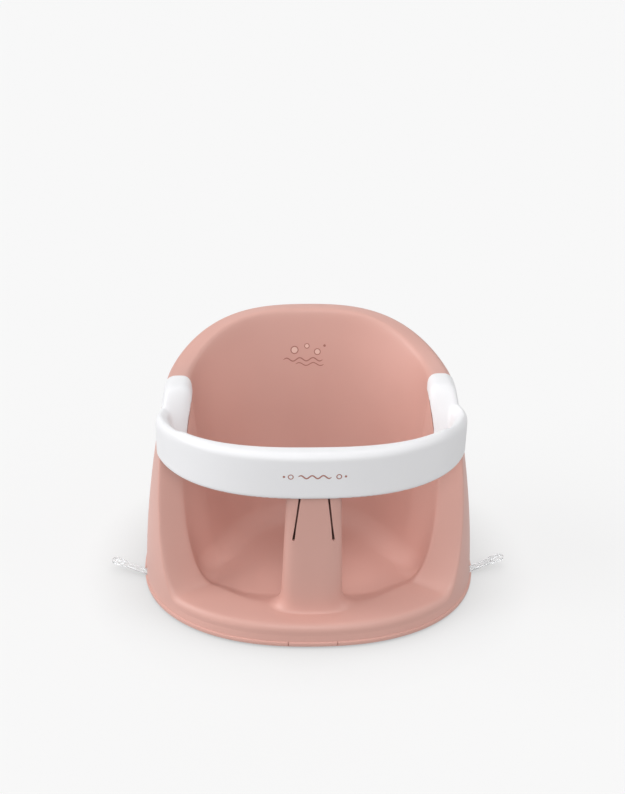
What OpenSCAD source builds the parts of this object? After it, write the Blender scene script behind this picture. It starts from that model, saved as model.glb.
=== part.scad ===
/* [Seat shell] */
// Width across the foot lip
seat_w = 342; // [325:1:360]
// Depth across the foot lip
seat_d = 299; // [290:1:315]
// Height of the backrest rim above the surface that the seat stands on
back_h = 242; // [232:1:255]
// How much lower the side rim, where the ears of the bar sit, is than the back rim
side_drop = 27; // [22:1:32]
// Height of the low sill across the front
sill_h = 25.5; // [24.5:0.5:28]
// Height of the seat pan
pan_z = 17; // [17:0.5:18.5]
// Wall thickness of the moulding
wall = 3; // [2.6:0.1:3.4]
// How far the sides lean in between the foot and the side rim
side_lean = 30; // [25:1:33]
// How far the back leans in between the foot and the back rim
back_lean = 16; // [10:1:22]
// Squareness of the plan, where 2 is an ellipse
plan_n = 2.3; // [2.15:0.05:2.4]
// Width of the rolled rim at the sides and back
rim_w = 22; // [21:0.5:25]
// Width of the front sill
sill_w = 38; // [35:1:41]
// Radius between the pan and the walls
pan_fillet = 28; // [20:1:34]
// Drop of the steep band inside the rim before it meets the bowl
knee_drop = 14; // [10:1:17]

/* [Foot lip] */
// Height of the lip above the surface that the seat stands on
lip_z = 2.5; // [2:0.1:3]
// Height of the outward step at the foot
lip_h = 4; // [3:0.5:5]
// How far the lip stands out from the wall
lip_flare = 2; // [1.5:0.1:3]

/* [Safety bar] */
// Half width of the bar, outside
bar_half = 154; // [152:0.5:156]
// Reach of the bar in front of the middle of the seat
bar_reach = 136; // [134:0.5:139]
// Depth of the bar from front face to back face
bar_t = 19.5; // [18.5:0.5:21]
// How far the underside of the bar lies below the side rim
bar_drop = 57.5; // [55:0.5:60]
// Height of the bar itself
bar_h = 46; // [43:0.5:48]
// Wall thickness of the bar and its ears
bar_wall = 2.4; // [2:0.1:2.8]
// Length of rim that an ear wraps, from its crest down the outside
ear_out = 27; // [22:1:30]
// Length of rim that an ear wraps, from its crest down the inside
ear_in = 21; // [18:1:24]
// How far the ears stand proud of the rim
ear_proud = 0.8; // [0.5:0.1:1.2]

/* [Crotch post] */
// Width of the post under the bar
post_w = 50; // [46:1:52]
// How much wider the post is at its foot
post_spread = 10; // [6:1:14]
// Depth of the post under the bar
post_d = 20; // [18:1:24]
// Radius of the flare where the post meets the sill
post_flare = 14; // [10:1:15]
// Width of the tongue that the slits leave, at the top
tongue_w = 26; // [22:1:27]
// Width of each slit
slit_w = 2; // [1.4:0.1:2.2]

/* [Suction cups] */
// Radius of the cup lip
cup_r = 24; // [21:0.5:25]
// Width of the flat ring that the cup stands on
cup_ring = 4; // [3:0.5:5]
// Height of the cup up to its neck
cup_h = 8.5; // [7.5:0.5:8.5]
// Distance of the front cups' middles from the side of the foot lip
cup_inset = 59; // [57:1:63]
// How far the front cups lie in front of the middle
front_cup_y = 54; // [48:1:60]
// Distance of the rear cups from the middle line
rear_cup_x = 50; // [46:1:54]
// How far the rear cups lie behind the middle
rear_cup_y = 42; // [38:1:46]
// Reach of the pull tab from the middle of the cup
tab_reach = 104; // [98:1:108]
// Width of the strap of the pull tab
tab_w = 6; // [5:0.5:7]
// Thickness of the pull tab
tab_t = 2.2; // [1.8:0.1:2.6]

/* [Fits] */
// Gap between the ears and the recess in the rim
ear_gap = 0.3; // [0.2:0.05:0.5]
// Gap between the top of the post and the bar
post_gap = 0.4; // [0.3:0.05:0.6]
// Gap around the neck and head of a suction cup
cup_gap = 0.3; // [0.2:0.05:0.5]

/* [Hidden] */

pink = [0.80, 0.58, 0.53];
white = [0.94, 0.94, 0.95];
clear_white = [0.90, 0.92, 0.93];

// Angles run round the plan from 0 at the front to 180 at the back, in degrees
ramp_from = 53;
ramp_to = 82;
back_span = 80;
ear_front = 71.5;
ear_back = 92.9;
bar_end = 82;
bar_fade = 70;
channel_end = 50;
side_h = back_h - side_drop;
bar_z = side_h - bar_drop;
// Radius of the side rim where the ears sit
side_r = seat_w / 2 - side_lean - rim_w / 4;

// Section of the bar: its squareness in plan, side thickness, rounded edges and ribs
bar_n = 2.4;
bar_in_n = 2.7;
bar_side_t = 8;
bar_low_round = 3.2;
bar_top_round = 7;
bar_side_round = 14;
bar_rib = 1.6;

// Radii of the rolled edge, outside and inside, on the low sill
sill_roll_out = 7;
sill_roll_in = 150;
// Inset and rounding of the steep band inside the rim, and the widening of the rim at the front corners
knee_in = 3;
knee_r = 6;
corner_w = 6;
rise_n = 1.7;

// Steps round an arc of the section and round the foot of the steep band
arc_steps = 4;
knee_steps = 3;
// Height of the blend between the lip and the wall
lip_blend = 7;

// The pan is a rounded trapezoid, wide in front: distances of its sides and their splay
pan_front = seat_d / 2 - sill_w - 24;
pan_side = seat_w / 2 - 95;
pan_back = seat_d / 2 - 86;
pan_splay = 31;
pan_n = 4;
// Least run of the wall between the pan and the rim
pan_edge = 13;
// How far the sill falls towards the pan
sill_dip = 1;

// Places on the post
post_top_z = bar_z - post_gap;
post_tab_h = bar_h - bar_wall - 8;
post_tab_w = post_w - 11;
post_wall = wall - 0.5;
post_dent = 1.2;
post_base_z = sill_h - sill_dip * 0.8;
post_foot_y = bar_reach - 11;
post_foot_d = post_d + 14;
post_top_y = bar_reach - bar_wall - 2;
tab_front_y = post_top_y - post_dent - 0.4;
tab_back_y = bar_reach - bar_t + bar_wall + post_gap;
slit_foot_z = bar_z - 48;
post_n = 3.6;
slit_lean = 5.5;

// Parts of a suction cup above its dome
neck_r = 4;
neck_h = 3;
head_r = 7.6;
head_h = 2.2;
boss_r = 11.8;
gusset_l = 26;
gusset_t = 1.8;
boss_floor = neck_h - cup_gap * 2;
// Longer than anything that a cutter or a boss has to pass through
through = 60;
boss_z = cup_h + cup_gap;
tab_angle = 26;
tab_tilt = 5.5;
tab_loop_l = 18;
tab_loop_w = 9.4;
tab_loop_rim = 2.8;
notch_w = tab_w + 5.6;
notch_h = 12.7;

// Stations round the shell, close together where the rim drops
function steps(a, b, n) = [for (i = [0 : n - 1]) a + (b - a) * i / n];
half_stations = concat(
    steps(0, ramp_from - 1, 6),
    steps(ramp_from - 1, ramp_to + 2, 13),
    steps(ramp_to + 2, 180, 11)
);
stations = concat(
    half_stations,
    [180],
    [for (i = [len(half_stations) - 1 : -1 : 1]) 360 - half_stations[i]]
);

function blend(a, b, x) = let (t = min(1, max(0, (x - a) / (b - a)))) t * t * (3 - 2 * t);
function mix(a, b, t) = a + (b - a) * t;
function unit(v) = v / norm(v);
function soft_min(a, b) = (a + b - sqrt(pow(a - b, 2) + 64)) / 2;
function fold(th) = let (t = th % 360) abs(t > 180 ? 360 - t : t);

// Radius of a rounded plan in one direction, with half width a and half depth b
function plan_r(th, a, b, n) =
    pow(pow(abs(sin(th)) / a, n) + pow(abs(cos(th)) / b, n), -1 / n);

function lean(z, top) = pow(max(z, 0) / top, 1.7);
function wall_r(th, z) = plan_r(
    th,
    seat_w / 2 - lip_flare - side_lean * lean(z, side_h),
    seat_d / 2 - lip_flare - back_lean * lean(z, back_h),
    plan_n
);

// Height of the rim: low sill, steep ramp, level sides, and a rise to the back
function rise(th) = cos(90 * pow(min(1, (180 - fold(th)) / back_span), rise_n));
function rim_z(th) =
    mix(sill_h, side_h, blend(ramp_from, ramp_to, fold(th)))
    + (back_h - side_h) * pow(rise(th), 2);
function rim_width(th) =
    let (f = fold(th))
    mix(sill_w, rim_w, blend(46, 72, f)) + corner_w * blend(24, 50, f) * (1 - blend(50, 74, f));
function roll_out(th) = mix(sill_roll_out, rim_w / 2, blend(76, 92, fold(th)));
// How far the low sloping sill has turned into the steep band, by height
function steep(th) = blend(pan_z + 6, pan_z + 40, rim_z(th));
function roll_in(th) = mix(
    mix(sill_roll_in, sill_roll_out, steep(th)),
    rim_w / 2,
    blend(76, 92, fold(th))
);
function pan_r(th) =
    let (
        f = fold(th),
        room = wall_r(th, rim_z(th)) - rim_width(th) - pan_edge,
        free = pow(
            pow(max(0, cos(f)) / pan_front, pan_n)
            + pow(max(0, -cos(f)) / pan_back, pan_n)
            + pow(max(0, sin(f - pan_splay)) / pan_side, pan_n)
            + pow(max(0, sin(-f - pan_splay)) / pan_side, pan_n),
            -1 / pan_n
        )
    )
    soft_min(free, room);

// Arc that rounds the corner p between a and b, no longer than its sides allow
function corner(a, p, b, r, k) =
    let (
        u = unit(a - p),
        v = unit(b - p),
        half = acos(u * v) / 2,
        room = 0.46 * min(norm(a - p), norm(b - p)),
        t = min(r / tan(half), room),
        c = p + unit(u + v) * t / cos(half),
        s = p + u * t - c,
        sweep = (180 - 2 * half) * sign(cross(s, p + v * t - c))
    )
    [for (i = [0 : k])
        let (q = sweep * i / k)
        c + [s.x * cos(q) - s.y * sin(q), s.x * sin(q) + s.y * cos(q)]];

// Rounding of the corner p that starts and ends at unlike distances from it
function loose(a, p, b, reach_a, reach_b, k) = [
    for (i = [0 : k])
        let (q = 90 * i / k)
        p + unit(a - p) * reach_a * (1 - sin(q)) + unit(b - p) * reach_b * (1 - cos(q))
];

// Section of the shell in one direction, from the foot over the rim to the pan
function section(th) =
    let (
        h = rim_z(th),
        ro = roll_out(th),
        top = [wall_r(th, h), h],
        low = [wall_r(th, h - 2.4 * ro), h - 2.4 * ro],
        side = steep(th),
        inner = [top.x - rim_width(th), h - sill_dip * (1 - side)],
        pan = [pan_r(th), pan_z],
        deep = mix(knee_drop, knee_drop / 2, blend(85, 130, fold(th))),
        drop = min(deep, 0.4 * (inner.y - pan_z)),
        knee = mix(mix(inner, pan, 0.5), inner - [knee_in, drop], side),
        foot_z = lip_z + lip_h + lip_blend,
        over = corner(low, top, inner, ro, arc_steps),
        back = corner(top, inner, knee, roll_in(th), arc_steps),
        over_reach = min(knee_r, 0.46 * norm(inner - knee)),
        under_reach = min(knee_r, 0.46 * norm(pan - knee)),
        dent = loose(inner, knee, pan, over_reach, under_reach, knee_steps),
        bowl = corner(knee, pan, [-pan.x, pan_z], mix(sill_roll_in, pan_fillet, side), arc_steps),
        last = dent[knee_steps]
    )
    concat(
        [
            [wall_r(th, 0) + lip_flare, lip_z],
            [wall_r(th, 0) + lip_flare, lip_z + lip_h],
            [wall_r(th, 0) + 0.3 * lip_flare, lip_z + lip_h + 1.2]
        ],
        [for (i = [0 : 4])
            let (z = mix(min(foot_z, over[0].y - 1.5), over[0].y, i / 5))
            [wall_r(th, z), z]],
        over,
        back,
        dent,
        [for (i = [1 : 2]) mix(last, bowl[0], i / 3)],
        bowl,
        [for (t = [0.55, 0.18]) [bowl[arc_steps].x * t, pan_z]]
    );

function place(th, p) = [p.x * sin(th), -p.x * cos(th), p.y];

// Rings of points for the outside of the shell, and the outward direction at each
rings = [for (th = stations) [for (p = section(th)) place(th, p)]];
ring_n = len(rings);
ring_m = len(rings[0]);
function facing(i, j) =
    let (
        along = rings[(i + 1) % ring_n][j] - rings[(i + ring_n - 1) % ring_n][j],
        up = rings[i][min(j + 1, ring_m - 1)] - rings[i][max(j - 1, 0)]
    )
    unit(cross(along, up));

// Triangles of a closed solid made of rings, each a loop of n points, m rings in all
function band_faces(n, m) = [
    for (i = [0 : n - 1], j = [0 : m - 2])
        let (a = i + j * n, b = (i + 1) % n + j * n)
        each [[a, a + n, b], [b, a + n, b + n]]
];
function cap_faces(n, ring, hub, up) = [
    for (i = [0 : n - 1])
        let (a = i + ring * n, b = (i + 1) % n + ring * n)
        up ? [a, hub, b] : [b, hub, a]
];
module ring_solid(loops, low_hub, high_hub) {
    n = len(loops[0]);
    m = len(loops);
    points = concat([for (l = loops) each l], [low_hub, high_hub]);
    faces = concat(
        band_faces(n, m),
        cap_faces(n, 0, n * m, false),
        cap_faces(n, m - 1, n * m + 1, true)
    );
    polyhedron(points, faces);
}

// The shell's outer surface moved outward by grow, as one closed solid
module shell_mass(grow) {
    loops = [for (j = [0 : ring_m - 1])
        [for (i = [0 : ring_n - 1]) rings[i][j] + facing(i, j) * grow]];
    ring_solid(loops, [0, 0, lip_z], [0, 0, pan_z + grow]);
}

// The room under the shell, one wall below its surface and open at the foot
module shell_room() {
    skin = [for (j = [3 : 2 : ring_m - 1])
        [for (i = [0 : ring_n - 1]) rings[i][j] - facing(i, j) * wall]];
    foot = [for (p = skin[0]) [p.x, p.y, -5]];
    ring_solid(concat([foot], skin), [0, 0, -5], [0, 0, pan_z - wall]);
}

// Triangles of a closed solid made of open strips folded back on themselves,
// each a loop of n points whose first half is the outer face
module strip_solid(loops) {
    n = len(loops[0]);
    m = len(loops);
    last = (m - 1) * n;
    start = [for (k = [0 : n / 2 - 2])
        each [[k, k + 1, n - 1 - k], [k + 1, n - 2 - k, n - 1 - k]]];
    end = [for (f = start) [f.z + last, f.y + last, f.x + last]];
    polyhedron([for (l = loops) each l], concat(band_faces(n, m), start, end));
}

// Point on the rim at a distance s from its crest, positive towards the pan
function rim_table(th) =
    let (
        line = section(th),
        crest = 8 + arc_steps,
        from = 3,
        to = crest + arc_steps + knee_steps + 3,
        mid = norm(line[crest + 1] - line[crest]) / 2,
        steps = [for (i = 0, s = 0; i <= to - from;
            i = i + 1, s = s + (i <= to - from ? norm(line[from + i] - line[from + i - 1]) : 0)) s],
        zero = steps[crest - from] + mid
    )
    [for (i = [0 : to - from]) [steps[i] - zero, line[from + i]]];
function rim_point(th, s) =
    let (table = rim_table(th))
    place(th, [
        lookup(s, [for (t = table) [t[0], t[1].x]]),
        lookup(s, [for (t = table) [t[0], t[1].y]])
    ]);

// Point of an ear, standing off the rim's surface by out
function ear_point(th, s, out) =
    let (
        along = rim_point(th + 0.5, s) - rim_point(th - 0.5, s),
        over = rim_point(th, s + 1.2) - rim_point(th, s - 1.2)
    )
    rim_point(th, s) + unit(cross(along, over)) * out;

// Ear as a curved strip over the rim with a rounded rear end; grow widens it all round
module ear(high, low, grow) {
    difference() {
        ear_strip(high, low, grow);
        translate([0, -seat_d, 0])
            cube([seat_w, seat_d * 2, bar_z + bar_low_round - grow]);
    }
}
module ear_strip(high, low, grow) {
    across = 12;
    round_r = 13;
    round_angle = round_r / side_r * 180 / PI;
    turn = ear_back - round_angle;
    flat_angles = [for (i = [0 : 8]) mix(ear_front, turn, i / 8)];
    round_steps = [18, 36, 54, 72, 90];
    stops = concat(
        [for (a = flat_angles) [a, 0]],
        [for (q = round_steps) [turn + round_angle * sin(q), round_r * (1 - cos(q))]]
    );
    grow_angle = grow / side_r * 180 / PI;
    loops = [for (i = [len(stops) - 1 : -1 : 0])
        let (
            push = i == 0 ? -grow_angle : i > 8 ? grow_angle : 0,
            th = stops[i][0] + push,
            from = stops[i][1] - ear_out - grow,
            to = ear_in + grow - stops[i][1]
        )
        concat(
            [for (k = [0 : across]) ear_point(th, mix(from, to, k / across), high)],
            [for (k = [across : -1 : 0]) ear_point(th, mix(from, to, k / across), low)]
        )];
    strip_solid(loops);
}
module both_sides() {
    children();
    mirror([1, 0, 0]) children();
}

// Plan of the bar at one angle, faded into the ear at its ends
function bar_out(th) = mix(
    plan_r(th, bar_half, bar_reach, bar_n),
    wall_r(th, bar_z + bar_h * 0.8) + ear_proud,
    blend(bar_fade, bar_end, fold(th))
);
function bar_in(th) = min(
    plan_r(th, bar_half - bar_side_t, bar_reach - bar_t, bar_in_n),
    bar_out(th) - bar_side_t
);
function bar_profile(th) =
    let (
        thick = bar_out(th) - bar_in(th),
        over = mix(bar_top_round, bar_side_round, blend(45, 68, fold(th))),
        lift = bar_h * 0.45 * blend(bar_fade + 3, bar_end, fold(th)),
        a = [bar_in(th), bar_z + lift],
        b = [bar_out(th), bar_z + lift],
        c = [bar_out(th), bar_z + bar_h],
        d = [bar_in(th), bar_z + bar_h]
    )
    concat(
        corner(d, a, b, bar_low_round, 2),
        corner(a, b, c, bar_low_round, 2),
        loose(b, c, d, over, min(over, thick * 0.6), 3),
        loose(c, d, a, thick * 0.3, over, 3)
    );
module bar_ring() {
    angles = [for (i = [20 : -1 : -20]) bar_end * i / 20];
    loops = [for (th = angles) [for (p = bar_profile(th)) place(th, p)]];
    ring_solid(loops, middle(loops[0]), middle(loops[len(loops) - 1]));
}
function middle(loop) = [for (i = [0 : 2]) sum([for (p = loop) p[i]]) / len(loop)];
function sum(list) = [for (i = 0, s = list[0]; i < len(list);
    i = i + 1, s = i < len(list) ? s + list[i] : s) s][len(list) - 1];

// Channel inside the bar, open along its underside
module bar_channel() {
    angles = [for (i = [16 : -1 : -16]) channel_end * i / 16];
    loops = [for (th = angles)
        let (
            a = bar_in(th) + bar_wall,
            b = bar_out(th) - bar_wall,
            top = bar_z + bar_h - bar_wall,
            cut = min(bar_top_round - bar_wall, (b - a) * 0.4)
        )
        [for (p = [[a, bar_z - 5], [b, bar_z - 5], [b, top - cut], [b - cut, top],
                [a + cut, top], [a, top - cut]]) place(th, p)]];
    ring_solid(loops, middle(loops[0]), middle(loops[len(loops) - 1]));
}
module bar_ribs() {
    for (th = [13, 24, 35, 46], side = [-1, 1])
        rotate([0, 0, side * th])
            hull()
                for (r = [bar_in(th) + 1, bar_out(th) - 1], z = [bar_z + 8, bar_z + bar_h - 1.5])
                    translate([0, -r, z])
                        cube([bar_rib, 0.2, 0.2], center = true);
}

// Loop round the post at one height, with a slightly hollow front face
function post_loop(z, w, front, back, dent) = [
    for (k = [0 : 31])
        let (
            c = cos(k * 11.25 - 90),
            s = sin(k * 11.25 - 90),
            q = pow(pow(abs(c), post_n) + pow(abs(s), post_n), -1 / post_n),
            x = w / 2 * c * q,
            hollow = s < 0 ? dent * max(0, 1 - pow(x / (0.36 * w), 2)) : 0
        )
        [x, (front - back) / 2 * s * q - (front + back) / 2 + hollow, z]
];
function post_part(z) = min(1, max(0, (z - post_base_z) / (post_top_z - post_base_z)));
function post_foot(z) =
    let (d = post_base_z + post_flare - z)
    d <= 0 ? 0 : post_flare - sqrt(pow(post_flare, 2) - pow(min(d, post_flare), 2));
function post_at(z, inset) =
    let (
        t = post_part(z),
        f = post_foot(z),
        w = mix(post_w + post_spread, post_w, t) + 2 * f - 2 * inset,
        front = mix(post_foot_y, post_top_y, t) + 0.25 * f - inset,
        back = mix(post_foot_y - post_foot_d, post_top_y - post_d, t) - f + inset
    )
    post_loop(z, w, front, back, post_dent);
module post_mass() {
    loops = concat(
        [for (z = [-4, 0, 1, 3, 6, post_flare]) post_at(post_base_z + z, 0)],
        [for (i = [1 : 4]) post_at(mix(post_base_z + post_flare, post_top_z, i / 4), 0)],
        [for (z = [post_top_z, post_top_z + post_tab_h])
            post_loop(z, post_tab_w, tab_front_y, tab_back_y, 0)]
    );
    ring_solid(loops, middle(loops[0]), middle(loops[len(loops) - 1]));
}
module post_room() {
    loops = concat(
        [for (z = [0, 0, post_flare - 2]) post_at(post_base_z + 2 + z, post_wall)],
        [post_at(post_top_z - post_wall - 9, post_wall)],
        [for (z = [post_top_z - post_wall, post_top_z + post_tab_h - post_wall])
            post_loop(z, post_tab_w - 2 * post_wall, tab_front_y - post_wall,
                tab_back_y + post_wall, 0)]
    );
    low = [for (p = loops[0]) [p.x, p.y, lip_z]];
    all = concat([low], [for (i = [1 : len(loops) - 1]) loops[i]]);
    ring_solid(all, middle(all[0]), middle(all[len(all) - 1]));
}

// Slits either side of the tongue, through the front face only
module post_slits() {
    rise = post_top_z - slit_foot_z;
    both_sides()
        translate([tongue_w / 2 + slit_lean, -post_top_y - 8, slit_foot_z])
            rotate([0, -atan(slit_lean / rise), 0]) {
                translate([-slit_w / 2, 0, 0])
                    cube([slit_w, 8 + 2.2 * post_wall, rise + post_tab_h * 2]);
                rotate([-90, 0, 0])
                    cylinder(d = slit_w, h = 8 + 2.2 * post_wall, $fn = 16);
            }
}

// Places of the suction cups and whether each has a pull tab
front_cup = [seat_w / 2 - cup_inset, -front_cup_y];
rear_cup = [rear_cup_x, rear_cup_y];

// Boss that holds a cup's head, with two gussets to the wall
module cup_boss(at) {
    turn = atan2(at.y, at.x);
    translate([at.x, at.y, boss_z]) {
        difference() {
            cylinder(r = boss_r, h = through, $fn = 24);
            translate([0, 0, -1])
                cylinder(r = neck_r + cup_gap, h = boss_floor + 2, $fn = 20);
            translate([0, 0, boss_floor])
                cylinder(r = head_r + cup_gap, h = through * 2, $fn = 24);
        }
        for (side = [70, -70])
            rotate([0, 0, turn + side])
                hull()
                    for (x = [boss_r - 2, boss_r + gusset_l])
                        translate([x, 0, 2])
                            translate([0, -gusset_t / 2, 0])
                                cube([0.2, gusset_t, 50]);
    }
}
module under_seat() {
    both_sides() {
        cup_boss(front_cup);
        cup_boss(rear_cup);
    }
}

// Arched notch in the skirt that a pull tab passes through
module tab_notch() {
    translate([front_cup.x, front_cup.y, 0])
        rotate([0, 0, tab_angle])
            translate([cup_r * 1.5, 0, 0]) {
                translate([0, -notch_w / 2, -1])
                    cube([through, notch_w, notch_h - notch_w / 2 + 1]);
                translate([0, 0, notch_h - notch_w / 2])
                    rotate([0, 90, 0])
                        cylinder(d = notch_w, h = through, $fn = 24);
            }
}

module seat_shell() {
    color(pink)
        difference() {
            union() {
                shell_mass(0);
                post_mass();
            }
            difference() {
                shell_room();
                under_seat();
            }
            post_room();
            post_slits();
            both_sides() {
                ear(4, ear_proud - bar_wall - ear_gap, ear_gap);
                tab_notch();
            }
        }
}

module safety_bar() {
    color(white)
        union() {
            difference() {
                bar_ring();
                difference() {
                    bar_channel();
                    bar_ribs();
                }
                shell_mass(ear_gap);
            }
            both_sides()
                ear(ear_proud, ear_proud - bar_wall, 0);
        }
}

// Cup turned about its axis: flat ring below, dome, neck and retaining head above
module cup_body() {
    hollow_r = cup_r - cup_ring;
    hollow_h = cup_h * 0.45;
    under = [for (i = [0 : 5]) let (q = i * 18) [hollow_r * sin(q), hollow_h * cos(q)]];
    dome = [for (i = [0 : 6])
        let (q = i * 15)
        [neck_r + 1.5 + (cup_r - neck_r - 1.5) * cos(q), 0.9 + (cup_h - 0.9) * pow(sin(q), 1.6)]];
    top = cup_h + neck_h;
    rotate_extrude($fn = 96)
        polygon(concat(
            under,
            [[cup_r, 0]],
            dome,
            [
                [neck_r, cup_h],
                [neck_r, top],
                [head_r, top],
                [head_r, top + head_h * 0.5],
                [head_r * 0.75, top + head_h],
                [0, top + head_h]
            ]
        ));
}
module stadium(l, w) {
    square([l - w, w], center = true);
    for (side = [-1, 1])
        translate([side * (l - w) / 2, 0])
            circle(d = w, $fn = 48);
}
module pull_tab() {
    root = cup_r - 4;
    length = tab_reach - root;
    translate([root, 0, 0.9])
        rotate([0, -tab_tilt, 0])
            linear_extrude(tab_t)
                difference() {
                    union() {
                        translate([0, -tab_w / 2])
                            square([length - tab_loop_l + tab_loop_rim, tab_w]);
                        translate([length - tab_loop_l / 2, 0])
                            stadium(tab_loop_l, tab_loop_w);
                    }
                    translate([length - tab_loop_l / 2, 0])
                        stadium(tab_loop_l - 2 * tab_loop_rim, tab_loop_w - 2 * tab_loop_rim);
                }
}
module suction_cup_front_right() {
    color(clear_white)
        translate([front_cup.x, front_cup.y, 0])
            rotate([0, 0, tab_angle]) {
                cup_body();
                pull_tab();
            }
}
module suction_cup_front_left() {
    color(clear_white)
        translate([-front_cup.x, front_cup.y, 0])
            rotate([0, 0, 180 - tab_angle]) {
                cup_body();
                pull_tab();
            }
}
module suction_cup_rear_right() {
    color(clear_white)
        translate([rear_cup.x, rear_cup.y, 0])
            cup_body();
}
module suction_cup_rear_left() {
    color(clear_white)
        translate([-rear_cup.x, rear_cup.y, 0])
            cup_body();
}

seat_shell();
safety_bar();
suction_cup_front_left();
suction_cup_front_right();
suction_cup_rear_left();
suction_cup_rear_right();
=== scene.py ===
import math

import bmesh
import bpy
import numpy as np
from mathutils import Matrix, Vector
from mathutils.bvhtree import BVHTree


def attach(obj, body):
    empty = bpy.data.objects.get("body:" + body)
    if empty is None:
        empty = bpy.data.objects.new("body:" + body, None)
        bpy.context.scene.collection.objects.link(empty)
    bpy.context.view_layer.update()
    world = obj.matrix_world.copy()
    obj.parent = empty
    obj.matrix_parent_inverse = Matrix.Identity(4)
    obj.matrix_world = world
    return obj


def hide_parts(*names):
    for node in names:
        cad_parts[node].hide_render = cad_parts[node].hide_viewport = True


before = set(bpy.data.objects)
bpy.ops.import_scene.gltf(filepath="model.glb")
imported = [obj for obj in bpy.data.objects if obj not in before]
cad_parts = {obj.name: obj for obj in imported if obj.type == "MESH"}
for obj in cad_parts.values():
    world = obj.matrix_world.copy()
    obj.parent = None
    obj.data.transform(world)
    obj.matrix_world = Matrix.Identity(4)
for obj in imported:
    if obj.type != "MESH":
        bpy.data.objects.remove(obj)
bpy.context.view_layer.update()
MM = 0.001

# Shape values, in millimetres and degrees

# Where the part's source has a value of the same name it is the same, apart from EAR_OUT and
# POST_N. EAR_ROUND, BAR_SHOULDER_T, BAR_SLOPE and the marks are forms of the skins alone.
SEAT_W, SEAT_D, BACK_H, SIDE_H, SILL_H, PAN_Z, WALL = 342.0, 299.0, 242.0, 215.0, 25.5, 17.0, 3.0
SIDE_LEAN, BACK_LEAN, PLAN_N, RIM_W, SILL_W, PAN_FILLET = 30.0, 16.0, 2.3, 22.0, 38.0, 28.0
KNEE_DROP, KNEE_IN, KNEE_R, CORNER_W = 14.0, 3.0, 6.0, 6.0
LIP_Z, LIP_H, LIP_FLARE = 2.5, 4.0, 2.0
BAR_HALF, BAR_REACH, BAR_T, BAR_Z, BAR_H, BAR_WALL = 154.0, 136.0, 19.5, 157.5, 46.0, 2.4
EAR_OUT, EAR_IN, EAR_PROUD, EAR_ROUND = 32.0, 21.0, 0.8, 19.0
EAR_ACROSS, EAR_RUNS, EAR_CURVE_FROM, EAR_CURVE_STEPS = 40, 36, 6, 15
RECESS_OVER = 4.0
POST_W, POST_SPREAD, POST_D, POST_FLARE, TONGUE_W, SLIT_W = 50.0, 10.0, 20.0, 14.0, 26.0, 2.0
EAR_GAP, POST_GAP, CUP_GAP = 0.3, 0.4, 0.3
RAMP_FROM, RAMP_TO, BACK_SPAN, RISE_N = 53.0, 82.0, 80.0, 1.7
EAR_FRONT, EAR_BACK, BAR_END, BAR_FADE, CHANNEL_END = 71.5, 92.9, 82.0, 70.0, 50.0
BAR_N, BAR_IN_N, BAR_SIDE_T = 2.4, 2.7, 8.0
BAR_LOW_ROUND, BAR_TOP_ROUND, BAR_SIDE_ROUND = 3.2, 7.0, 14.0
BAR_SHOULDER_T, BAR_SLOPE = 15.0, 9.0
RIB_ANGLES, RIB_T, RIB_LOW, RIB_TOP = (13, 24, 35, 46), 1.6, 8.0, 1.5
SILL_ROLL_OUT, SILL_ROLL_IN, LIP_BLEND = 7.0, 150.0, 7.0
LEAN_N, STEEP_LOW, STEEP_HIGH = 1.7, 6, 40
# angles from the front, in degrees, over which one form runs into the next
ROLL_FADE, KNEE_FADE, SILL_FADE = (76, 92), (85, 130), (46, 72)
CORNER_RISE, CORNER_FALL = (24, 50), (50, 74)
THICK_FADE, TOP_FADE, SLOPE_FADE = (54, 68), (45, 68), (52, 68)
# share of a side that a corner's curve may take
CORNER_ROOM = 0.46
PAN_FRONT, PAN_SIDE, PAN_BACK = SEAT_D / 2 - SILL_W - 24, SEAT_W / 2 - 95, SEAT_D / 2 - 86
PAN_SPLAY, PAN_N, PAN_EDGE, SILL_DIP = 31.0, 4.0, 13.0, 1.0
POST_TOP_Z = BAR_Z - POST_GAP
POST_TAB_H = BAR_H - BAR_WALL - 8
POST_TAB_W = POST_W - 11
POST_WALL = WALL - 0.5
POST_DENT, DENT_PART = 1.2, 0.36
POST_FOOT_Y = BAR_REACH - 11
POST_FOOT_D = POST_D + 14
POST_TOP_Y = BAR_REACH - BAR_WALL - 2
TAB_FRONT_Y = POST_TOP_Y - POST_DENT - 0.4
TAB_BACK_Y = BAR_REACH - BAR_T + BAR_WALL + POST_GAP
SLIT_FOOT_Z = BAR_Z - 48
SLIT_LEAN = 5.5
POST_BASE_Z = SILL_H - SILL_DIP * 0.8
POST_N, POST_COLS = 2.7, 96
FRONT_CUP, REAR_CUP = (112.0, -54.0), (50.0, 42.0)
CUP_R, CUP_H = 24.0, 8.5
NECK_R, NECK_H, HEAD_R = 4.0, 3.0, 7.6
TAB_ANGLE, TAB_W = 26.0, 6.0
BOSS_R, GUSSET_L, GUSSET_T, GUSSET_ANGLE = 11.8, 26.0, 1.8, 70
NOTCH_W, NOTCH_H = TAB_W + 5.6, 12.7
# the foot lip's two moulding marks: place to each side, width and depth
MARK_X, MARK_W, MARK_DEPTH = 23.5, 1.0, 1.6
# length of a cutter that only has to pass right through
THROUGH = 60.0


# Section of the shell

def sind(a):
    return math.sin(math.radians(a))


def cosd(a):
    return math.cos(math.radians(a))


def blend(a, b, x):
    t = min(1.0, max(0.0, (x - a) / (b - a)))
    return t * t * (3 - 2 * t)


def mix(a, b, t):
    return a + (b - a) * t


def fold(th):
    t = th % 360
    return 360 - t if t > 180 else t


def soft_min(a, b, width=8.0):
    return (a + b - math.sqrt((a - b) ** 2 + width ** 2)) / 2


def plan_r(th, a, b, n):
    return ((abs(sind(th)) / a) ** n + (abs(cosd(th)) / b) ** n) ** (-1 / n)


def lean(z, top):
    return (max(z, 0) / top) ** LEAN_N


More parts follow.
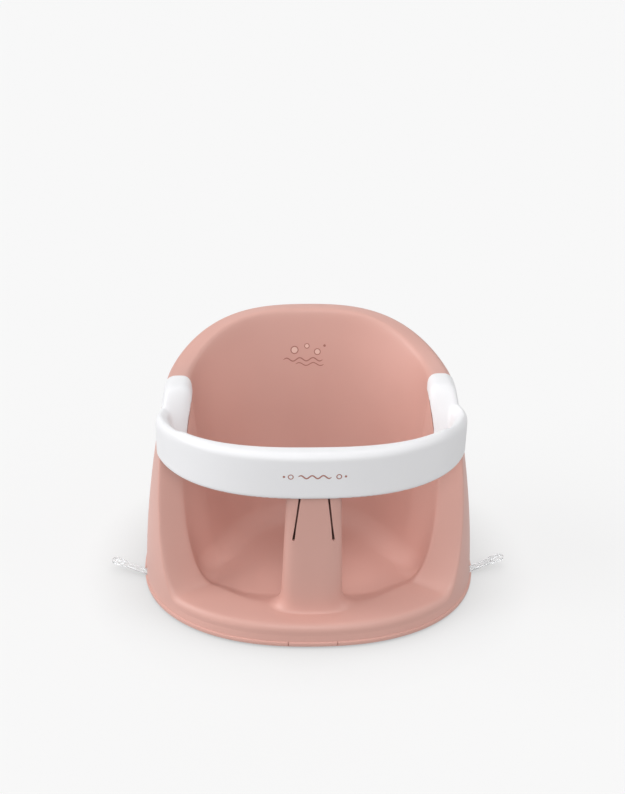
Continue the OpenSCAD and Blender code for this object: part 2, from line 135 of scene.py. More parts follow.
def wall_r(th, z):
    return plan_r(th, SEAT_W / 2 - LIP_FLARE - SIDE_LEAN * lean(z, SIDE_H),
                  SEAT_D / 2 - LIP_FLARE - BACK_LEAN * lean(z, BACK_H), PLAN_N)


def rise(th):
    return cosd(90 * min(1, (180 - fold(th)) / BACK_SPAN) ** RISE_N)


def rim_z(th):
    level = mix(SILL_H, SIDE_H, blend(RAMP_FROM, RAMP_TO, fold(th)))
    return level + (BACK_H - SIDE_H) * rise(th) ** 2


def rim_width(th):
    """Level width of the rim: wide sill, a little wider in the front corners, then narrow."""
    f = fold(th)
    bulge = CORNER_W * blend(*CORNER_RISE, f) * (1 - blend(*CORNER_FALL, f))
    return mix(SILL_W, RIM_W, blend(*SILL_FADE, f)) + bulge


def roll_out(th):
    return mix(SILL_ROLL_OUT, RIM_W / 2, blend(*ROLL_FADE, fold(th)))


def steep(th):
    """0 where the rim is about as low as the pan, 1 where the side stands well above it."""
    return blend(PAN_Z + STEEP_LOW, PAN_Z + STEEP_HIGH, rim_z(th))


def roll_in(th):
    front = mix(SILL_ROLL_IN, SILL_ROLL_OUT, steep(th))
    return mix(front, RIM_W / 2, blend(*ROLL_FADE, fold(th)))


def pan_r(th):
    f = fold(th)
    room = wall_r(th, rim_z(th)) - rim_width(th) - PAN_EDGE
    free = ((max(0, cosd(f)) / PAN_FRONT) ** PAN_N + (max(0, -cosd(f)) / PAN_BACK) ** PAN_N
            + (max(0, sind(f - PAN_SPLAY)) / PAN_SIDE) ** PAN_N
            + (max(0, sind(-f - PAN_SPLAY)) / PAN_SIDE) ** PAN_N) ** (-1 / PAN_N)
    return soft_min(free, room)


def unit(v):
    v = np.asarray(v, float)
    return v / max(np.linalg.norm(v), 1e-9)


def corner(a, p, b, r, k):
    """Round corner at p between a and b, in k steps."""
    a, p, b = np.array(a, float), np.array(p, float), np.array(b, float)
    u, v = unit(a - p), unit(b - p)
    half = math.acos(max(-1, min(1, float(u @ v)))) / 2
    room = CORNER_ROOM * min(np.linalg.norm(a - p), np.linalg.norm(b - p))
    t = min(r / math.tan(half), room)
    c = p + unit(u + v) * t / math.cos(half)
    s = p + u * t - c
    e = p + v * t - c
    sweep = (math.pi - 2 * half) * (1 if s[0] * e[1] - s[1] * e[0] > 0 else -1)
    out = []
    for i in range(k + 1):
        q = sweep * i / k
        cos_q, sin_q = math.cos(q), math.sin(q)
        out.append(c + np.array([s[0] * cos_q - s[1] * sin_q, s[0] * sin_q + s[1] * cos_q]))
    return out


def loose(a, p, b, reach_a, reach_b, k):
    """Rounded corner at p whose curve starts and ends at unlike distances from it."""
    a, p, b = np.array(a, float), np.array(p, float), np.array(b, float)
    s, e = unit(a - p) * reach_a, unit(b - p) * reach_b
    return [p + s * (1 - sind(90 * i / k)) + e * (1 - cosd(90 * i / k)) for i in range(k + 1)]


WALL_ROWS, ARC_ROWS, KNEE_ROWS, MID_ROWS, BOWL_ROWS = 14, 12, 7, 8, 22
LIP_ROWS = 7
WALL_CROWD = 1.15
PAN_RINGS = (0.86, 0.7, 0.54, 0.38, 0.22, 0.08)
OVER_REACH = 2.4


def section(th):
    """Radius and height along the shell's outer face in one direction: foot, rim, pan."""
    h, ro = rim_z(th), roll_out(th)
    top = np.array([wall_r(th, h), h])
    low = [wall_r(th, h - OVER_REACH * ro), h - OVER_REACH * ro]
    round_side = steep(th)
    inner = np.array([top[0] - rim_width(th), h - SILL_DIP * (1 - round_side)])
    pan = np.array([pan_r(th), PAN_Z])
    drop = mix(KNEE_DROP, KNEE_DROP * 0.5, blend(*KNEE_FADE, fold(th)))
    drop = min(drop, 0.4 * (inner[1] - PAN_Z))
    knee = mix(mix(inner, pan, 0.5), inner - [KNEE_IN, drop], round_side)
    foot_z = LIP_Z + LIP_H + LIP_BLEND
    over = corner(low, top, inner, ro, ARC_ROWS)
    back = corner(top, inner, knee, roll_in(th), ARC_ROWS)
    over_reach = min(KNEE_R, CORNER_ROOM * np.linalg.norm(inner - knee))
    under_reach = min(KNEE_R, CORNER_ROOM * np.linalg.norm(pan - knee))
    dent = loose(inner, knee, pan, over_reach, under_reach, KNEE_ROWS)
    fillet = mix(SILL_ROLL_IN, PAN_FILLET, round_side)
    bowl = corner(knee, pan, [-pan[0], PAN_Z], fillet, BOWL_ROWS)
    w0 = wall_r(th, 0)
    lip_r = w0 + LIP_FLARE
    lip_top = LIP_Z + LIP_H
    line = [
        [lip_r - 0.5, LIP_Z], [lip_r - 0.12, LIP_Z + 0.18], [lip_r, LIP_Z + 0.6],
        [lip_r, lip_top - 0.6], [lip_r - 0.18, lip_top - 0.12], [lip_r - 0.6, lip_top + 0.1],
        [w0 + 0.3 * LIP_FLARE, lip_top + 0.5],
    ]
    z0 = min(foot_z, over[0][1] - 1.5)
    for i in range(WALL_ROWS):
        z = mix(z0, over[0][1], (i / WALL_ROWS) ** WALL_CROWD)
        line.append([wall_r(th, z), z])
    line += [list(p) for p in over] + [list(p) for p in back] + [list(p) for p in dent]
    for i in range(1, MID_ROWS):
        line.append(list(mix(dent[-1], bowl[0], i / MID_ROWS)))
    line += [list(p) for p in bowl]
    for t in PAN_RINGS:
        line.append([bowl[-1][0] * t, PAN_Z])
    return np.array(line)


def spread(a, b, n):
    return [a + (b - a) * i / n for i in range(n)]


# directions at which the section is drawn, closer together along the steep ramp
HALF = spread(0, 50, 44) + spread(50, 86, 64) + spread(86, 180, 74)
STATIONS = HALF + [180.0] + [360 - a for a in HALF[:0:-1]]


def place(th, p):
    return np.array([p[0] * sind(th), -p[0] * cosd(th), p[1]])


LINES = np.array([section(th) for th in STATIONS])
ST = np.radians(STATIONS)[:, None]
RINGS = np.stack(
    [LINES[:, :, 0] * np.sin(ST), -LINES[:, :, 0] * np.cos(ST), LINES[:, :, 1]], axis=2)
RELAX_STEPS = 6
# a light relaxation of the rows takes out the small kinks between arcs and straights
for _ in range(RELAX_STEPS):
    core = RINGS[:, LIP_ROWS:-len(PAN_RINGS)]
    avg = (np.roll(core, 1, 0) + np.roll(core, -1, 0) + 2 * core) / 4
    relaxed = avg.copy()
    relaxed[:, 1:-1] = (avg[:, :-2] + avg[:, 2:] + 2 * avg[:, 1:-1]) / 4
    relaxed[:, 0] = core[:, 0]
    RINGS[:, LIP_ROWS:-len(PAN_RINGS)] = relaxed
RN, RM = RINGS.shape[:2]


def grid_normals(g):
    along = np.roll(g, -1, 0) - np.roll(g, 1, 0)
    up = np.empty_like(g)
    up[:, 1:-1] = g[:, 2:] - g[:, :-2]
    up[:, 0] = g[:, 1] - g[:, 0]
    up[:, -1] = g[:, -1] - g[:, -2]
    n = np.cross(along, up)
    return n / np.maximum(np.linalg.norm(n, axis=2, keepdims=True), 1e-9)


NORMALS = grid_normals(RINGS)


# Mesh helpers

# in metres, as Blender's own units
MERGE_DIST, SLIVER_DIST = 1e-7, 0.00002


def mesh_object(name, verts, faces, smooth=True):
    """Object from points in millimetres and faces."""
    me = bpy.data.meshes.new(name)
    points = [tuple(float(c) * MM for c in v) for v in verts]
    me.from_pydata(points, [], [tuple(map(int, f)) for f in faces])
    me.validate()
    me.update()
    ob = bpy.data.objects.new(name, me)
    bpy.context.scene.collection.objects.link(ob)
    if smooth:
        me.polygons.foreach_set("use_smooth", [True] * len(me.polygons))
    return ob


def wall_faces(n, m):
    """Faces between m rings of n points each."""
    faces = []
    for j in range(m - 1):
        for i in range(n):
            a, b = i + j * n, (i + 1) % n + j * n
            faces.append((a, a + n, b + n, b))
    return faces


def ring_solid(name, loops, low_hub=None, high_hub=None):
    """Closed solid from rings of points, closed at both ends by a hub each."""
    n, m = len(loops[0]), len(loops)
    verts = [p for ring in loops for p in ring]
    low_hub = np.mean(loops[0], axis=0) if low_hub is None else low_hub
    high_hub = np.mean(loops[-1], axis=0) if high_hub is None else high_hub
    verts += [low_hub, high_hub]
    faces = wall_faces(n, m)
    for i in range(n):
        a, b = i, (i + 1) % n
        faces.append((b, n * m, a))
        a, b = i + (m - 1) * n, (i + 1) % n + (m - 1) * n
        faces.append((a, n * m + 1, b))
    ob = mesh_object(name, verts, faces)
    outward(ob)
    return ob


def strip_solid(name, loops):
    """Closed solid from loops whose first half is the outer face and second half the inner one."""
    n, m = len(loops[0]), len(loops)
    verts = [p for ring in loops for p in ring]
    faces = wall_faces(n, m)
    h = n // 2
    for k in range(h - 1):
        faces.append((k, k + 1, n - 2 - k, n - 1 - k))
        e = (m - 1) * n
        faces.append((e + n - 1 - k, e + n - 2 - k, e + k + 1, e + k))
    ob = mesh_object(name, verts, faces)
    outward(ob)
    return ob


def outward(ob):
    """Merges points that coincide and turns all faces outwards."""
    bm = bmesh.new()
    bm.from_mesh(ob.data)
    bmesh.ops.remove_doubles(bm, verts=bm.verts, dist=MERGE_DIST)
    bmesh.ops.recalc_face_normals(bm, faces=bm.faces)
    if bm.calc_volume(signed=True) < 0:
        bmesh.ops.reverse_faces(bm, faces=bm.faces)
    bm.to_mesh(ob.data)
    bm.free()


def apply_modifiers(ob):
    dg = bpy.context.evaluated_depsgraph_get()
    dg.update()
    me = bpy.data.meshes.new_from_object(ob.evaluated_get(dg))
    ob.modifiers.clear()
    old = ob.data
    ob.data = me
    bpy.data.meshes.remove(old)


def boolean(ob, other, kind):
    """Cuts the other solid out of this one or joins it on, and uses it up."""
    mod = ob.modifiers.new("cut", "BOOLEAN")
    mod.operation = kind
    mod.object = other
    mod.solver = "MANIFOLD"
    apply_modifiers(ob)
    bpy.data.objects.remove(other)


def shade(ob, degrees):
    """Smooth faces, with edges sharper than the angle kept crisp."""
    bm = bmesh.new()
    bm.from_mesh(ob.data)
    limit = math.radians(degrees)
    for f in bm.faces:
        f.smooth = True
    for e in bm.edges:
        e.smooth = len(e.link_faces) == 2 and e.calc_face_angle(0) < limit
    bm.to_mesh(ob.data)
    bm.free()


def clean(ob):
    """Drops faces and edges of no size, and splits large faces into triangles."""
    bm = bmesh.new()
    bm.from_mesh(ob.data)
    bmesh.ops.dissolve_degenerate(bm, edges=bm.edges, dist=SLIVER_DIST)
    bmesh.ops.triangulate(bm, faces=[f for f in bm.faces if len(f.verts) > 4])
    bm.to_mesh(ob.data)
    bm.free()


def mirrored(ob, name):
    me = ob.data.copy()
    me.transform(Matrix.Scale(-1, 4, (1, 0, 0)))
    me.flip_normals()
    other = bpy.data.objects.new(name, me)
    bpy.context.scene.collection.objects.link(other)
    return other


def box_solid(name, lo, hi):
    v = [(x, y, z) for x in (lo[0], hi[0]) for y in (lo[1], hi[1]) for z in (lo[2], hi[2])]
    f = [(0, 1, 3, 2), (4, 6, 7, 5), (0, 4, 5, 1), (2, 3, 7, 6), (0, 2, 6, 4), (1, 5, 7, 3)]
    ob = mesh_object(name, v, f, False)
    outward(ob)
    return ob


# Shell: outer solid less the room under it

# how far a cutter reaches past an open side, and a height well inside the shell for the bosses
UNDER, BOSS_TOP = 5.0, 70


def shell_solid(name, grow, step=1):
    """Solid inside the shell's outer face, grown outwards."""
    g = RINGS + NORMALS * grow
    loops = [[g[i, j] for i in range(0, RN, step)] for j in range(RM)]
    return ring_solid(name, loops, (0, 0, LIP_Z), (0, 0, PAN_Z + grow))


def shell_room():
    """Room under the shell, open below."""
    g = RINGS - NORMALS * WALL
    loops = [[g[i, j] for i in range(0, RN, 2)] for j in range(LIP_ROWS, RM, 2)]
    foot = [np.array([p[0], p[1], -UNDER]) for p in loops[0]]
    return ring_solid("room", [foot] + loops, (0, 0, -UNDER), (0, 0, PAN_Z - WALL))


def rod(name, r, z0, z1, at, sides=64):
    angles = np.linspace(0, 2 * math.pi, sides, endpoint=False)
    ring = [(at[0] + r * math.cos(a), at[1] + r * math.sin(a)) for a in angles]
    return ring_solid(name, [[(x, y, z) for x, y in ring] for z in (z0, z1)])


def cup_boss(at):
    """Boss that holds a cup's head, with two gussets to the wall."""
    foot = CUP_H + CUP_GAP
    boss = rod("boss", BOSS_R, foot, BOSS_TOP, at)
    turn = math.atan2(at[1], at[0])
    for angle in (GUSSET_ANGLE, -GUSSET_ANGLE):
        gusset = box_solid("gusset", (BOSS_R - 2, -GUSSET_T / 2, foot + 2),
                           (BOSS_R + GUSSET_L, GUSSET_T / 2, foot + 52))
        gusset.data.transform(Matrix.Translation((at[0] * MM, at[1] * MM, 0))
                              @ Matrix.Rotation(turn + math.radians(angle), 4, "Z"))
        boolean(boss, gusset, "UNION")
    neck_room = rod("neck", NECK_R + CUP_GAP, foot - 1, foot + NECK_H, at)
    head_room = rod("head", HEAD_R + CUP_GAP, foot + NECK_H - CUP_GAP * 2, BOSS_TOP + 10, at)
    boolean(boss, neck_room, "DIFFERENCE")
    boolean(boss, head_room, "DIFFERENCE")
    return boss


def tab_notch(side):
    """Arched notch in the skirt for a pull tab."""
    half, spring = NOTCH_W / 2, NOTCH_H - NOTCH_W / 2
    arch = [(half * math.cos(a), spring + half * math.sin(a)) for a in np.linspace(math.pi, 0, 25)]
    arch = [(-half, -1.0)] + arch + [(half, -1.0)]
    along, across = cosd(TAB_ANGLE), sind(TAB_ANGLE)
    loops = []
    for run in (CUP_R * 1.5, CUP_R * 1.5 + THROUGH):
        loops.append([(side * (FRONT_CUP[0] + run * along - y * across),
                       FRONT_CUP[1] + run * across + y * along, z) for y, z in arch])
    return ring_solid("notch", loops)


# Crotch post

FILLET_STEPS, POST_RINGS, ROOM_RINGS = 12, 24, 11
FILLET_TOP_Z = POST_BASE_Z + POST_FLARE + 4
POST_EDGE = 0.6
# slit cutter: reach in front, half widths at its foot and a little above as shares of the
# slit's width, height of the second one, and reach over the top
SLIT_OUT, SLIT_FOOT_PART, SLIT_LOW_PART, SLIT_LOW_H, SLIT_OVER = 8, 0.62, 0.4, 14, 30


def post_loop(z, w, front, back, dent):
    """Ring round the post at one height, with a slightly hollow front face."""
    out = []
    for k in range(POST_COLS):
        a = math.radians(k * 360 / POST_COLS - 90)
        c, s = math.cos(a), math.sin(a)
        q = (abs(c) ** POST_N + abs(s) ** POST_N) ** (-1 / POST_N)
        x = w / 2 * c * q
        hollow = dent * max(0, 1 - (x / (DENT_PART * w)) ** 2) if s < 0 else 0
        out.append(np.array([x, (front - back) / 2 * s * q - (front + back) / 2 + hollow, z]))
    return out


def post_at(z, inset, flare=0.0):
    t = min(1, max(0, (z - POST_BASE_Z) / (POST_TOP_Z - POST_BASE_Z)))
    w = mix(POST_W + POST_SPREAD, POST_W, t) + 2 * flare - 2 * inset
    front = mix(POST_FOOT_Y, POST_TOP_Y, t) + 0.25 * flare - inset
    back = mix(POST_FOOT_Y - POST_FOOT_D, POST_TOP_Y - POST_D, t) - flare + inset
    return post_loop(z, w, front, back, POST_DENT * blend(0, 0.2, t))


def post_solid(shell):
    """Post whose foot runs out onto the sill in a fillet that follows the sill's own height."""
    bvh = BVHTree.FromObject(shell, bpy.context.evaluated_depsgraph_get())

    def ground(p):
        hit = bvh.ray_cast(Vector((p[0] * MM, p[1] * MM, 0.1)), Vector((0, 0, -1)))
        return hit[0].z / MM if hit[0] is not None else SILL_H

    base = post_at(POST_BASE_Z, 0)
    wide = post_at(POST_BASE_Z, 0, POST_FLARE)
    high = post_at(FILLET_TOP_Z, 0)
    fillets = []
    for b, w, h in zip(base, wide, high):
        land = np.array([w[0], w[1], 0.0])
        land[2] = ground(land)
        root = np.array([b[0], b[1], ground(b)])
        slope = unit(land - root)
        col = []
        for i in range(FILLET_STEPS + 1):
            t = i / FILLET_STEPS
            col.append((1 - t) ** 2 * land + 2 * t * (1 - t) * root + t * t * h)
        under = land + np.array([0, 0, -3.0])
        col.insert(0, under - slope * 0.5)
        fillets.append(col)
    loops = [[fillets[k][i] for k in range(POST_COLS)] for i in range(FILLET_STEPS + 2)]
    for i in range(1, POST_RINGS + 1):
        loops.append(post_at(mix(FILLET_TOP_Z, POST_TOP_Z - POST_EDGE, i / POST_RINGS), 0))
    loops.append(post_at(POST_TOP_Z, POST_EDGE))
    for z in (POST_TOP_Z, POST_TOP_Z + POST_TAB_H):
        loops.append(post_loop(z, POST_TAB_W, TAB_FRONT_Y, TAB_BACK_Y, 0))
    return ring_solid("post", loops)


def post_room():
    """Room inside the post, open below."""
    low_z, high_z = POST_BASE_Z + POST_FLARE, POST_TOP_Z - POST_WALL - 9
    loops = [post_at(POST_BASE_Z + 2, POST_WALL)]
    for i in range(ROOM_RINGS + 1):
        loops.append(post_at(mix(low_z, high_z, i / ROOM_RINGS), POST_WALL))
    for z in (POST_TOP_Z - POST_WALL, POST_TOP_Z + POST_TAB_H - POST_WALL):
        loops.append(post_loop(z, POST_TAB_W - 2 * POST_WALL,
                               TAB_FRONT_Y - POST_WALL, TAB_BACK_Y + POST_WALL, 0))
    low = [np.array([p[0], p[1], LIP_Z]) for p in loops[0]]
    return ring_solid("post_room", [low] + loops)


def slit(side):
    """Narrow cutter for one side, a little wider at its rounded foot."""
    rise_z = POST_TOP_Z - SLIT_FOOT_Z
    lean_a = math.atan(SLIT_LEAN / rise_z)
    foot, low, top = SLIT_W * SLIT_FOOT_PART, SLIT_W * SLIT_LOW_PART, SLIT_W * 0.5
    pts = [(foot * math.cos(a), foot * math.sin(a)) for a in np.linspace(math.pi, 2 * math.pi, 13)]
    pts += [(low, SLIT_LOW_H), (top, rise_z + SLIT_OVER)]
    pts += [(-top, rise_z + SLIT_OVER), (-low, SLIT_LOW_H)]
    loops = []
    for y in (-POST_TOP_Y - SLIT_OUT, -POST_TOP_Y + 5 * POST_WALL):
        ring = []
        for x, z in pts:
            xr = x * math.cos(lean_a) - z * math.sin(lean_a)
            zr = x * math.sin(lean_a) + z * math.cos(lean_a)
            ring.append((side * (TONGUE_W / 2 + SLIT_LEAN + xr), y, SLIT_FOOT_Z + zr))
        loops.append(ring)
    return ring_solid("slit", loops)


# Ears

def rim_rows():
    """Distance of each section's points from the crest of the rim, positive towards the pan."""
    crest = LIP_ROWS + WALL_ROWS + ARC_ROWS
    seg = np.linalg.norm(np.diff(RINGS, axis=1), axis=2)
    run = np.concatenate([np.zeros((RN, 1)), np.cumsum(seg, axis=1)], axis=1)
    mid = seg[:, crest] / 2
    return run - run[:, crest:crest + 1] - mid[:, None]


RUN = rim_rows()
STATION_ARRAY = np.array(STATIONS + [360.0])


def rim_point(th, s):
    """Point of the shell's face in a direction, at a distance from the crest of the rim."""
    i = int(np.searchsorted(STATION_ARRAY, th, side="right") - 1)
    i = max(0, min(i, RN - 1))
    t = (th - STATION_ARRAY[i]) / (STATION_ARRAY[i + 1] - STATION_ARRAY[i])
    pts = []
    for k in (i, (i + 1) % RN):
        pts.append(np.array([np.interp(s, RUN[k], RINGS[k, :, c]) for c in range(3)]))
    return mix(pts[0], pts[1], t)


def ear_point(th, s, out):
    """The same point, moved out square to the face."""
    along = rim_point(th + 0.5, s) - rim_point(th - 0.5, s)
    over = rim_point(th, s + 1.2) - rim_point(th, s - 1.2)
    return rim_point(th, s) + unit(np.cross(along, over)) * out


SIDE_R = SEAT_W / 2 - SIDE_LEAN - RIM_W / 4


def ear(name, high, low, grow):
    """Right ear that wraps the rim, between two heights over its face, grown at its edges."""
    round_angle = math.degrees(EAR_ROUND / SIDE_R)
    turn = EAR_BACK - round_angle
    stops = [(mix(EAR_FRONT, turn, i / EAR_RUNS), 0.0) for i in range(EAR_RUNS + 1)]
    stops += [(turn + round_angle * sind(q), EAR_ROUND * (1 - cosd(q)))
              for q in np.linspace(EAR_CURVE_FROM, 90, EAR_CURVE_STEPS)]
    grow_angle = math.degrees(grow / SIDE_R)
    loops = []
    for i in range(len(stops) - 1, -1, -1):
        push = -grow_angle if i == 0 else grow_angle if i > EAR_RUNS else 0
        th = stops[i][0] + push
        s0 = stops[i][1] - EAR_OUT - grow
        s1 = EAR_IN + grow - stops[i][1]
        runs = [mix(s0, s1, k / EAR_ACROSS) for k in range(EAR_ACROSS + 1)]
        outer = [ear_point(th, s, high) for s in runs]
        inner = [ear_point(th, s, low) for s in reversed(runs)]
        loops.append(outer + inner)
    ob = strip_solid(name, loops)
    below = box_solid("below", (0, -SEAT_D, -10), (SEAT_W, SEAT_D, BAR_Z + BAR_LOW_ROUND - grow))
    boolean(ob, below, "DIFFERENCE")
    return ob


# Safety bar

BAR_STOPS, CHANNEL_STOPS, BAR_CURVE = 161, 81, 6


def bar_out(th):
    ear_r = wall_r(th, BAR_Z + BAR_H * 0.8) + EAR_PROUD
    return mix(plan_r(th, BAR_HALF, BAR_REACH, BAR_N), ear_r, blend(BAR_FADE, BAR_END, fold(th)))


def bar_in(th):
    thick = mix(BAR_SIDE_T, BAR_SHOULDER_T, blend(*THICK_FADE, fold(th)))
    ring_r = plan_r(th, BAR_HALF - BAR_SIDE_T, BAR_REACH - BAR_T, BAR_IN_N)
    return min(ring_r, bar_out(th) - thick)


def bar_top_round(th):
    return mix(BAR_TOP_ROUND, BAR_SIDE_ROUND, blend(*TOP_FADE, fold(th)))


def bar_profile(th):
    """Section of the bar: low inner and outer corner, then the rounder outer and inner top."""
    r_in, r_out, top = bar_in(th), bar_out(th), BAR_Z + BAR_H
    low = BAR_Z + BAR_H * 0.45 * blend(BAR_FADE + 3, BAR_END, fold(th))
    a, b, c = [r_in, low], [r_out, low], [r_out, top]
    d = [r_in, top - BAR_SLOPE * blend(*SLOPE_FADE, fold(th))]
    thick, over = r_out - r_in, bar_top_round(th)
    return (corner(d, a, b, BAR_LOW_ROUND, BAR_CURVE)
            + corner(a, b, c, BAR_LOW_ROUND, BAR_CURVE)
            + loose(b, c, d, over, min(over, thick * 0.6), BAR_CURVE + 4)
            + loose(c, d, a, thick * 0.3, over, BAR_CURVE + 2))


def bar_ring():
    angles = np.linspace(BAR_END, -BAR_END, BAR_STOPS)
    return ring_solid("bar_ring", [[place(th, p) for p in bar_profile(th)] for th in angles])


def bar_channel():
    """Channel in the bar, open below."""
    loops = []
    for th in np.linspace(CHANNEL_END, -CHANNEL_END, CHANNEL_STOPS):
        a, b = bar_in(th) + BAR_WALL, bar_out(th) - BAR_WALL
        top = BAR_Z + BAR_H - BAR_WALL
        cut = min(BAR_TOP_ROUND - BAR_WALL, (b - a) * 0.4)
        line = [[a, BAR_Z - UNDER], [b, BAR_Z - UNDER]]
        line += corner([b, BAR_Z], [b, top], [a, top], cut, 5)
        line += corner([b, top], [a, top], [a, BAR_Z], cut, 5)
        loops.append([place(th, p) for p in line])
    return ring_solid("channel", loops)


def bar_rib(th):
    r0, r1 = bar_in(th) + 1, bar_out(th) - 1
    z0, z1 = BAR_Z + RIB_LOW, BAR_Z + BAR_H - RIB_TOP
    ob = box_solid("rib", (-RIB_T / 2, -r1, z0), (RIB_T / 2, -r0, z1))
    ob.data.transform(Matrix.Rotation(math.radians(th), 4, "Z"))
    return ob


def smooth(ob, name, steps, group=""):
    mod = ob.modifiers.new(name, "SMOOTH")
    mod.factor = 0.5
    mod.iterations = steps
    mod.vertex_group = group
    apply_modifiers(ob)


def remesh(ob, voxel, steps, weight, weighted_steps):
    """Even mesh over the whole piece, relaxed first where the weight says so, then all over."""
    mod = ob.modifiers.new("remesh", "REMESH")
    mod.mode = "VOXEL"
    mod.voxel_size = voxel * MM
    mod.adaptivity = 0
    apply_modifiers(ob)
    group = ob.vertex_groups.new(name="soft")
    for v in ob.data.vertices:
        w = weight(v.co / MM)
        if w > 0.01:
            group.add([v.index], w, "REPLACE")
    smooth(ob, "melt", weighted_steps, "soft")
    smooth(ob, "relax", steps)
    ob.data.polygons.foreach_set("use_smooth", [True] * len(ob.data.polygons))


# Materials

def srgb(r, g, b):
    def lin(c):
        c /= 255
        return c / 12.92 if c <= 0.04045 else ((c + 0.055) / 1.055) ** 2.4
    return (lin(r), lin(g), lin(b), 1)


def plastic(name, base, dark, rough, bump):
    """Moulded plastic: slow drift of colour, fine eroded grain in the gloss and the surface."""
    m = bpy.data.materials.new(name)
    m.use_nodes = True
    nodes, links = m.node_tree.nodes, m.node_tree.links
    bsdf = nodes["Principled BSDF"]
    coord = nodes.new("ShaderNodeTexCoord")
    drift = nodes.new("ShaderNodeTexNoise")
    drift.inputs["Scale"].default_value = 9.0
    drift.inputs["Detail"].default_value = 3.0
    ramp = nodes.new("ShaderNodeValToRGB")
    ramp.color_ramp.elements[0].position = 0.3
    ramp.color_ramp.elements[1].position = 0.72
    ramp.color_ramp.elements[0].color = dark
    ramp.color_ramp.elements[1].color = base
    links.new(coord.outputs["Object"], drift.inputs["Vector"])
    links.new(drift.outputs["Fac"], ramp.inputs["Fac"])
    links.new(ramp.outputs["Color"], bsdf.inputs["Base Color"])
    fine = nodes.new("ShaderNodeTexNoise")
    fine.inputs["Scale"].default_value = GRAIN_SCALE
    fine.inputs["Detail"].default_value = 4.0
    fine.inputs["Roughness"].default_value = 0.6
    links.new(coord.outputs["Object"], fine.inputs["Vector"])
    gloss = nodes.new("ShaderNodeMapRange")
    gloss.inputs["To Min"].default_value = rough - 0.05
    gloss.inputs["To Max"].default_value = rough + 0.07
    links.new(fine.outputs["Fac"], gloss.inputs["Value"])
    links.new(gloss.outputs["Result"], bsdf.inputs["Roughness"])
    relief = nodes.new("ShaderNodeBump")
    relief.inputs["Strength"].default_value = bump
    relief.inputs["Distance"].default_value = GRAIN_DEPTH
    links.new(fine.outputs["Fac"], relief.inputs["Height"])
    links.new(relief.outputs["Normal"], bsdf.inputs["Normal"])
    bsdf.inputs["Specular IOR Level"].default_value = 0.45
    return m


# grain of the moulds: noise scale per metre, and depth in metres
GRAIN_SCALE, GRAIN_DEPTH = 900.0, 0.00006
PINK = plastic("shell_plastic", srgb(213, 166, 155), srgb(208, 161, 150), 0.42, 0.35)
WHITE = plastic("bar_plastic", srgb(236, 236, 238), srgb(233, 233, 235), 0.45, 0.25)


def clear_rubber():
    """Soft, half-clear rubber with a faint cloud in its tint."""
    m = bpy.data.materials.new("clear_rubber")
    m.use_nodes = True
    nodes, links = m.node_tree.nodes, m.node_tree.links
    bsdf = nodes["Principled BSDF"]
    coord = nodes.new("ShaderNodeTexCoord")
    cloud = nodes.new("ShaderNodeTexNoise")
    cloud.inputs["Scale"].default_value = 60.0
    ramp = nodes.new("ShaderNodeValToRGB")
    ramp.color_ramp.elements[0].color = srgb(243, 245, 246)
    ramp.color_ramp.elements[1].color = srgb(250, 251, 252)
    links.new(coord.outputs["Object"], cloud.inputs["Vector"])
    links.new(cloud.outputs["Fac"], ramp.inputs["Fac"])
    links.new(ramp.outputs["Color"], bsdf.inputs["Base Color"])
    bsdf.inputs["Transmission Weight"].default_value = 0.75
    bsdf.inputs["IOR"].default_value = 1.3
    bsdf.inputs["Roughness"].default_value = 0.22
    return m


CLEAR = clear_rubber()


def dress(ob, material, slot, *nodes):
    """Gives a piece its material and lets it replace the solids of these nodes, which it hides.
    The slot is not used.
    """
    ob.data.materials.clear()
    ob.data.materials.append(material)
    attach(ob, "root")
    if nodes:
        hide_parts(*nodes)


# Build the shell

SHELL_CREASE, BAR_CREASE = 32, 40
shell = shell_solid("seat_shell_skin", 0)
post = post_solid(shell)
room = shell_room()
for spot in (FRONT_CUP, REAR_CUP):
    for side in (1, -1):
        boolean(room, cup_boss((side * spot[0], spot[1])), "DIFFERENCE")
boolean(shell, room, "DIFFERENCE")
boolean(shell, post, "UNION")
boolean(shell, post_room(), "DIFFERENCE")
for side in (1, -1):
    boolean(shell, slit(side), "DIFFERENCE")
recess = ear("recess", RECESS_OVER, EAR_PROUD - BAR_WALL - EAR_GAP, EAR_GAP)
boolean(shell, mirrored(recess, "recess_left"), "DIFFERENCE")
boolean(shell, recess, "DIFFERENCE")
mark_y = wall_r(math.degrees(math.atan2(MARK_X, SEAT_D / 2)), 0) * cosd(9) + LIP_FLARE
for side in (1, -1):
    boolean(shell, tab_notch(side), "DIFFERENCE")
    x = side * MARK_X
    mark = box_solid("mark", (x - MARK_W / 2, -mark_y - 3, LIP_Z + 0.6),
                     (x + MARK_W / 2, -mark_y + MARK_DEPTH, LIP_Z + LIP_H + 1))
    boolean(shell, mark, "DIFFERENCE")
clean(shell)
shade(shell, SHELL_CREASE)
dress(shell, PINK, "shell_plastic", "seat_shell")

# Build the bar

bar = bar_ring()
channel = bar_channel()
for th in RIB_ANGLES:
    for side in (1, -1):
        boolean(channel, bar_rib(side * th), "DIFFERENCE")
boolean(bar, channel, "DIFFERENCE")
boolean(bar, shell_solid("mass", EAR_GAP, step=2), "DIFFERENCE")
ear_right = ear("ear_right", EAR_PROUD, EAR_PROUD - BAR_WALL, 0.0)
ear_left = mirrored(ear_right, "ear_left")
boolean(bar, ear_right, "UNION")
boolean(bar, ear_left, "UNION")
bar.name = "safety_bar_skin"


# bounds of the shoulder between bar and ear, in millimetres: where its weight rises and falls
SHOULDER_X, SHOULDER_Y, SHOULDER_Z = (110, 121, 132, 140), (-92, -78, -16, 6), (166, 180)


def hump(bounds, x):
    """1 between the inner two of four bounds, 0 outside the outer two."""
    return blend(bounds[0], bounds[1], x) * (1 - blend(bounds[2], bounds[3], x))


